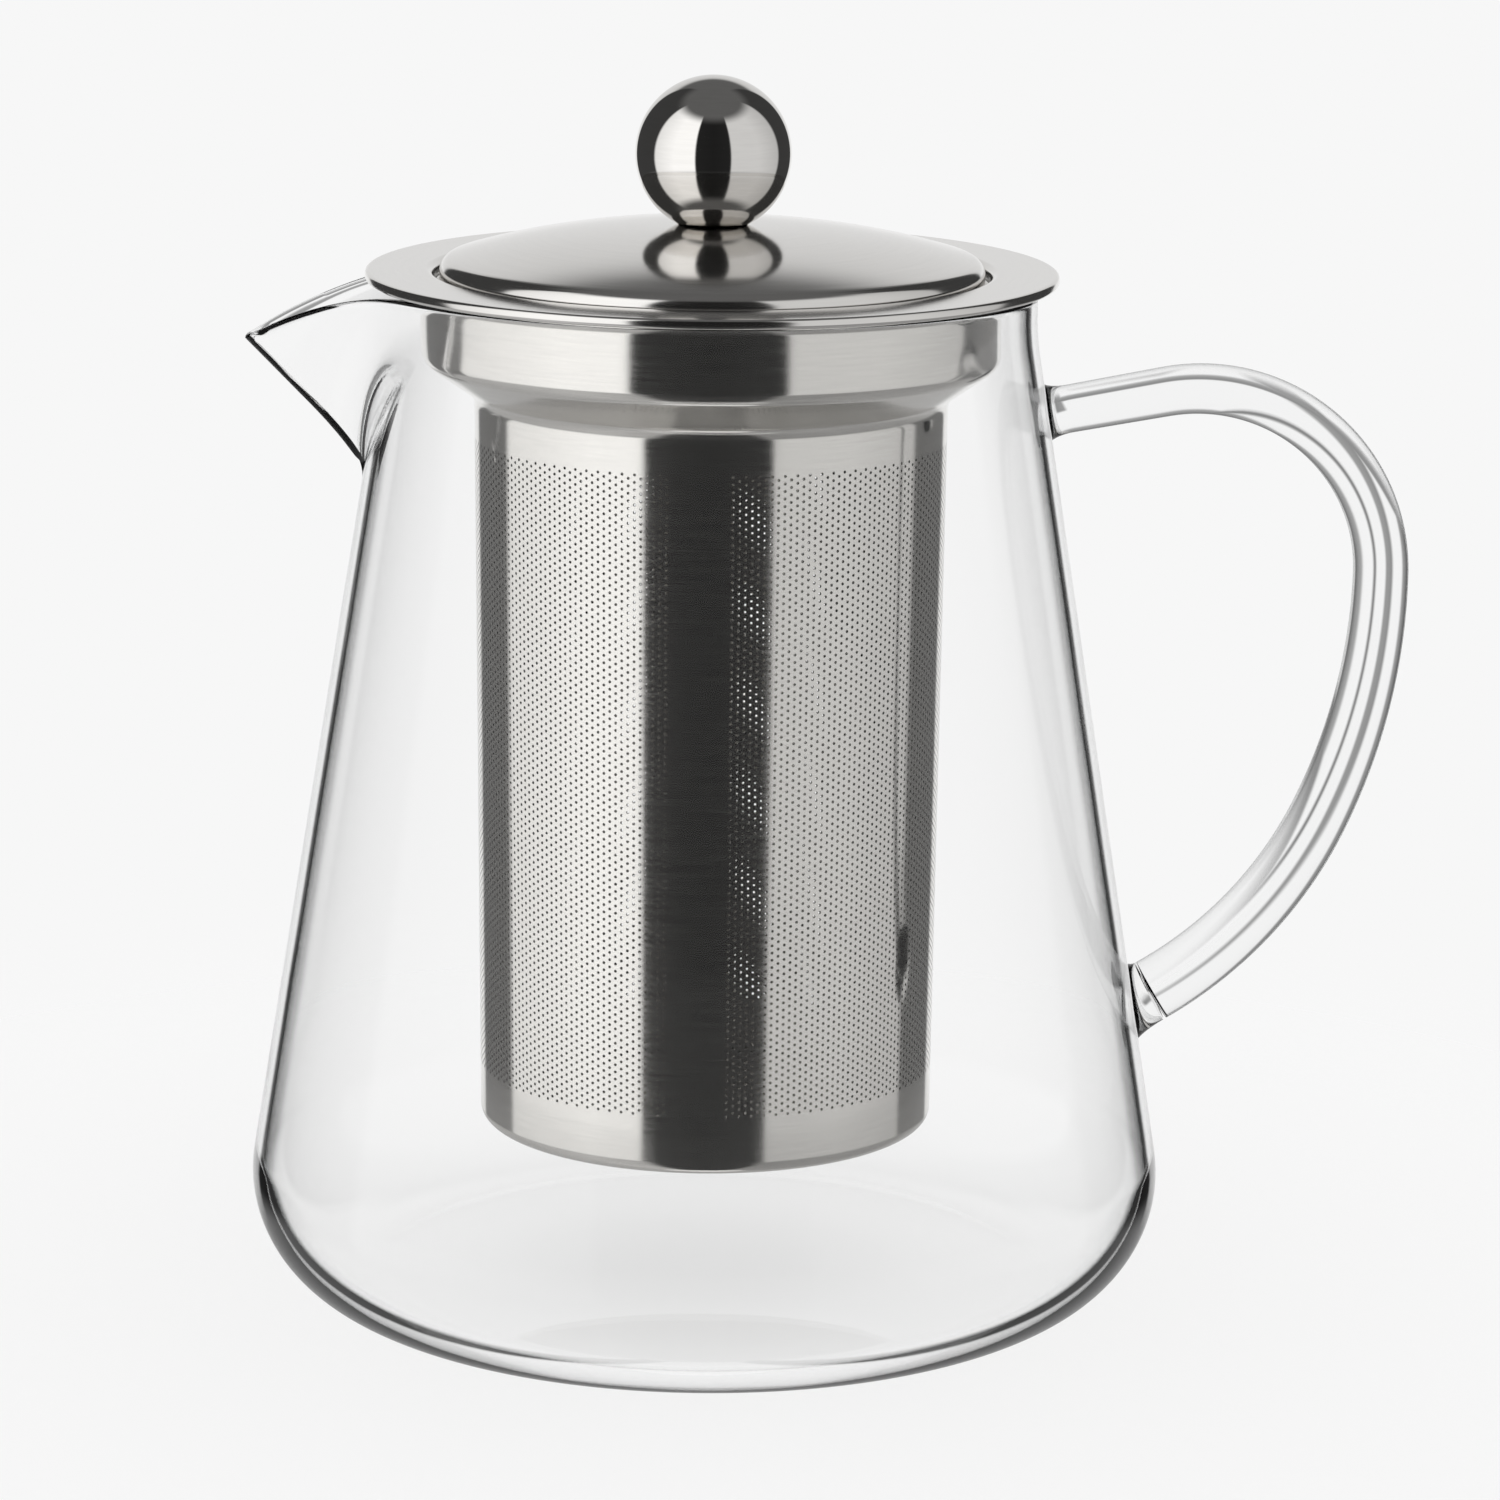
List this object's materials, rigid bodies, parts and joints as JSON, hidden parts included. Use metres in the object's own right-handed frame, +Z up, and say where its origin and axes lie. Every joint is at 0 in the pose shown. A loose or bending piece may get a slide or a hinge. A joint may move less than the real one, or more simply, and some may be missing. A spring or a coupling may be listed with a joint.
{
  "type": "glass teapot",
  "caption": "Tapered glass teapot with a pulled spout and glass rod handle, a lift-out perforated steel infuser and a domed steel lid with a ball knob.",
  "frame": {"origin": "middle of the flat foot that the jug stands on", "axes": "+Z up along the jug's axis, -X towards the spout, +X towards the handle"},
  "size_m": [0.1848, 0.146, 0.1958],
  "materials": {
    "clear_glass": "clear, fire polished",
    "brushed_steel": "fine brushed",
    "polished_steel": "polished"
  },
  "bodies": {
    "jug": {"glass_body": "clear_glass", "handle_rod": "clear_glass", "upper_handle_weld": "clear_glass", "lower_handle_weld": "clear_glass"},
    "infuser": {"infuser_collar": "brushed_steel", "infuser_screen": "brushed_steel", "infuser_base": "brushed_steel"},
    "lid": {"lid_shell": "polished_steel", "knob_ball": "polished_steel", "knob_screw": "brushed_steel", "knob_washer": "brushed_steel"}
  },
  "joints": [
    {"name": "infuser_lift", "type": "slide", "parent": "jug", "child": "infuser", "axis": [0, 0, 1], "range_m": [0, 0.15]},
    {"name": "lid_lift", "type": "slide", "parent": "infuser", "child": "lid", "axis": [0, 0, 1], "range_m": [0, 0.06]}
  ]
}
